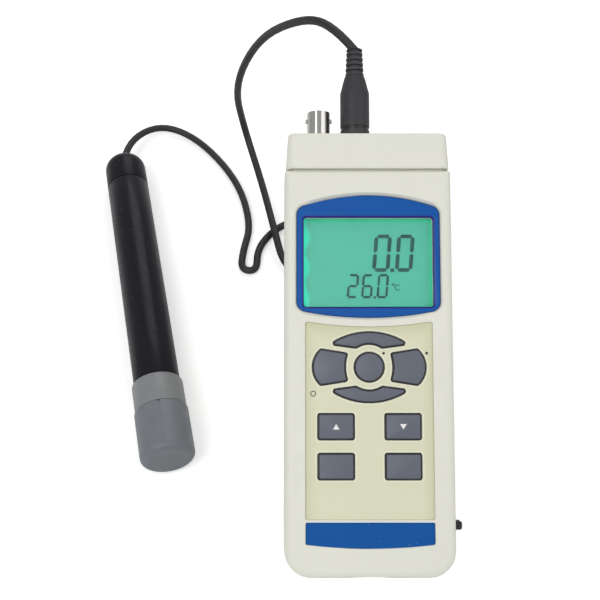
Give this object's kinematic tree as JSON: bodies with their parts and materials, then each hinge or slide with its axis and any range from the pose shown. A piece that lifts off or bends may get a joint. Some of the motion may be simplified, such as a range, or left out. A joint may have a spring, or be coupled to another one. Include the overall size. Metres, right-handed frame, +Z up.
{
  "type": "water quality data logger",
  "caption": "Handheld water quality data logger on its tilt stand, with a coloured keypad and lit display, and a cylindrical oxygen probe on a coiled lead.",
  "frame": {"origin": "centre of the bounding box of the meter and its probe, without the lead, at table level", "axes": "+Z up from the table, +Y away from the user along the meter, +X to the user's right"},
  "size_m": [0.171, 0.2809, 0.1343],
  "materials": {
    "housing_ivory": "fine moulded texture",
    "bezel_blue": "smooth satin",
    "clear_window": "clear",
    "display_green": "lit display",
    "backlight_mint": "translucent",
    "holder_white": "satin",
    "faceplate_cream": "printed sheet",
    "strip_blue": "printed sheet",
    "key_grey": "satin",
    "soft_grey": "matt silicone",
    "board_green": "solder mask",
    "chip_black": "moulded",
    "steel": "plated",
    "bright_metal": "polished nickel",
    "contact_gold": "plated",
    "cell_wrap": "plain wrap",
    "soft_black": "matt",
    "socket_black": "moulded",
    "plug_charcoal": "satin moulded",
    "cord_charcoal": "satin jacket",
    "probe_black": "polished",
    "probe_grey": "satin",
    "sensor_grey": "satin"
  },
  "bodies": {
    "meter": {"front_case": "housing_ivory", "rear_case": "housing_ivory", "top_end_cap": "housing_ivory", "display_bezel": "bezel_blue", "display_lens": "clear_window", "keypad_faceplate": "faceplate_cream", "blank_strip": "strip_blue", "keypad_mat": "soft_grey", "main_board": "board_green", "board_screws": "steel", "circuit_chips": "chip_black", "buzzer": "chip_black", "power_jack": "chip_black", "serial_jack": "chip_black", "batteries": "cell_wrap", "battery_contacts": "steel", "battery_cover": "housing_ivory", "battery_cover_screws": "steel", "case_screws": "steel", "probe_socket": "socket_black", "temperature_socket": "socket_black", "lcd_backlight": "backlight_mint", "lcd_glass": "display_green", "lcd_holder": "holder_white", "lcd_zebra_strips": "soft_grey", "sd_card": "chip_black", "sd_card_socket": "steel", "bnc_socket": "bright_metal", "bnc_insulator": "holder_white", "bnc_nut": "bright_metal", "probe_end_cap": "probe_black", "probe_handle": "probe_black", "probe_collar": "probe_grey", "probe_sensor_body": "sensor_grey", "probe_membrane_cap": "holder_white", "probe_o_rings": "soft_black", "probe_temperature_sensor": "sensor_grey", "plug_body": "plug_charcoal", "plug_strain_relief": "plug_charcoal", "plug_pins": "contact_gold", "lead_from_plug": "cord_charcoal", "lead_to_probe": "cord_charcoal", "lead_coil": "cord_charcoal", "coil_tie": "cord_charcoal"},
    "stand": {"tilt_stand": "housing_ivory", "stand_foot_pad": "soft_black"},
    "port_flap": {"port_cover": "soft_black"},
    "protective_cap": {"probe_cap": "probe_grey"},
    "button_upper_bow": {"key_upper_bow": "key_grey"},
    "button_lower_bow": {"key_lower_bow": "key_grey"},
    "button_left": {"key_left": "key_grey"},
    "button_right": {"key_right": "key_grey"},
    "button_centre": {"key_centre": "key_grey"},
    "button_arrow_up": {"key_arrow_up": "key_grey"},
    "button_arrow_down": {"key_arrow_down": "key_grey"},
    "button_lower_left": {"key_lower_left": "key_grey"},
    "button_lower_right": {"key_lower_right": "key_grey"}
  },
  "joints": [
    {"name": "press_upper_bow", "type": "slide", "parent": "meter", "child": "button_upper_bow", "axis": [0, 0.5, -0.866], "range_m": [0, 0.0008], "stiffness_N_per_m": 1200},
    {"name": "press_lower_bow", "type": "slide", "parent": "meter", "child": "button_lower_bow", "axis": [0, 0.5, -0.866], "range_m": [0, 0.0008], "stiffness_N_per_m": 1200},
    {"name": "press_left", "type": "slide", "parent": "meter", "child": "button_left", "axis": [0, 0.5, -0.866], "range_m": [0, 0.0008], "stiffness_N_per_m": 1200},
    {"name": "press_right", "type": "slide", "parent": "meter", "child": "button_right", "axis": [0, 0.5, -0.866], "range_m": [0, 0.0008], "stiffness_N_per_m": 1200},
    {"name": "press_centre", "type": "slide", "parent": "meter", "child": "button_centre", "axis": [0, 0.5, -0.866], "range_m": [0, 0.0008], "stiffness_N_per_m": 1200},
    {"name": "press_arrow_up", "type": "slide", "parent": "meter", "child": "button_arrow_up", "axis": [0, 0.5, -0.866], "range_m": [0, 0.0008], "stiffness_N_per_m": 1200},
    {"name": "press_arrow_down", "type": "slide", "parent": "meter", "child": "button_arrow_down", "axis": [0, 0.5, -0.866], "range_m": [0, 0.0008], "stiffness_N_per_m": 1200},
    {"name": "press_lower_left", "type": "slide", "parent": "meter", "child": "button_lower_left", "axis": [0, 0.5, -0.866], "range_m": [0, 0.0008], "stiffness_N_per_m": 1200},
    {"name": "press_lower_right", "type": "slide", "parent": "meter", "child": "button_lower_right", "axis": [0, 0.5, -0.866], "range_m": [0, 0.0008], "stiffness_N_per_m": 1200},
    {"name": "stand_hinge", "type": "hinge", "parent": "meter", "child": "stand", "pos_m": [0.04897, 0.01481, 0.06814], "axis": [-1, 0, 0], "range_deg": [0, 74.08]},
    {"name": "port_hinge", "type": "hinge", "parent": "meter", "child": "port_flap", "pos_m": [0.08177, -0.0791, 0.0548], "axis": [0, -0.5, 0.866], "range_deg": [0, 100]},
    {"name": "cap_slide", "type": "slide", "parent": "meter", "child": "protective_cap", "axis": [0.2094, -0.9778, 0.0102], "range_m": [0, 0.04]}
  ]
}
